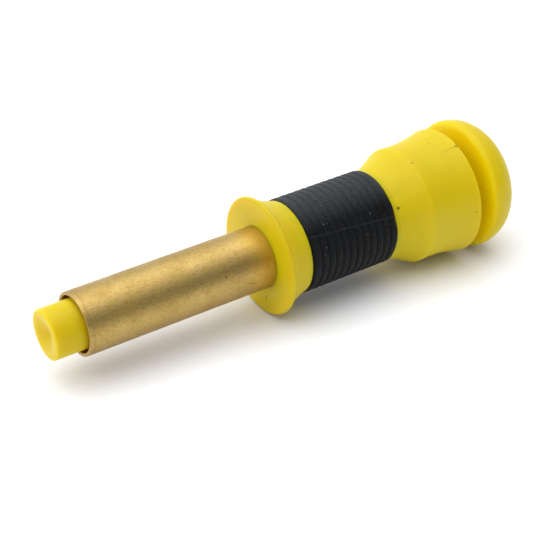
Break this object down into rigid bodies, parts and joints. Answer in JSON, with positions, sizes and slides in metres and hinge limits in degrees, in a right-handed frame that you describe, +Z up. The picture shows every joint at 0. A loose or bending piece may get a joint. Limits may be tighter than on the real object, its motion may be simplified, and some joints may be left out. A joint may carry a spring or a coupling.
{
  "type": "tyre plug insertion tool",
  "caption": "Hand tool that pushes a rubber plug through a brass nose tube: flanged handle with a ribbed rubber grip, sliding plunger and domed palm knob.",
  "frame": {"origin": "centre of the brass tube's mouth, on the tool's axis", "axes": "+X runs from the nose back through the handle to the palm knob, along the axis that every piece is turned about; +Z is up with the tool lying on its side"},
  "size_m": [0.1058, 0.0274, 0.0274],
  "materials": {
    "yellow_plastic": "satin moulded",
    "plunger_plastic": "satin turned",
    "knob_plastic": "satin moulded",
    "grip_rubber": "matt ribbed",
    "ring_rubber": "matt",
    "tube_brass": "satin drawn",
    "insert_brass": "turned",
    "bush_plastic": "matt",
    "wiper_felt": "pressed felt",
    "spring_steel": "oiled",
    "stud_steel": "zinc plated"
  },
  "bodies": {
    "frame": {"handle_body": "yellow_plastic", "grip_sleeve": "grip_rubber", "brass_tube": "tube_brass", "guide_bush": "bush_plastic", "felt_wiper": "wiper_felt", "bush_circlip": "spring_steel"},
    "ring": {"piston_ring": "ring_rubber"},
    "plunger": {"plunger_rod": "plunger_plastic", "bumper_ring": "ring_rubber", "palm_knob": "knob_plastic", "knob_insert": "insert_brass", "knob_stud": "stud_steel"}
  },
  "joints": [
    {"name": "plunger_slide", "type": "slide", "parent": "frame", "child": "ring", "axis": [1, 0, 0], "range_m": [-0.0032, 0.024]},
    {"name": "knob_spin", "type": "hinge", "parent": "ring", "child": "plunger", "pos_m": [0.023, 0, 0], "axis": [1, 0, 0], "continuous": true}
  ]
}
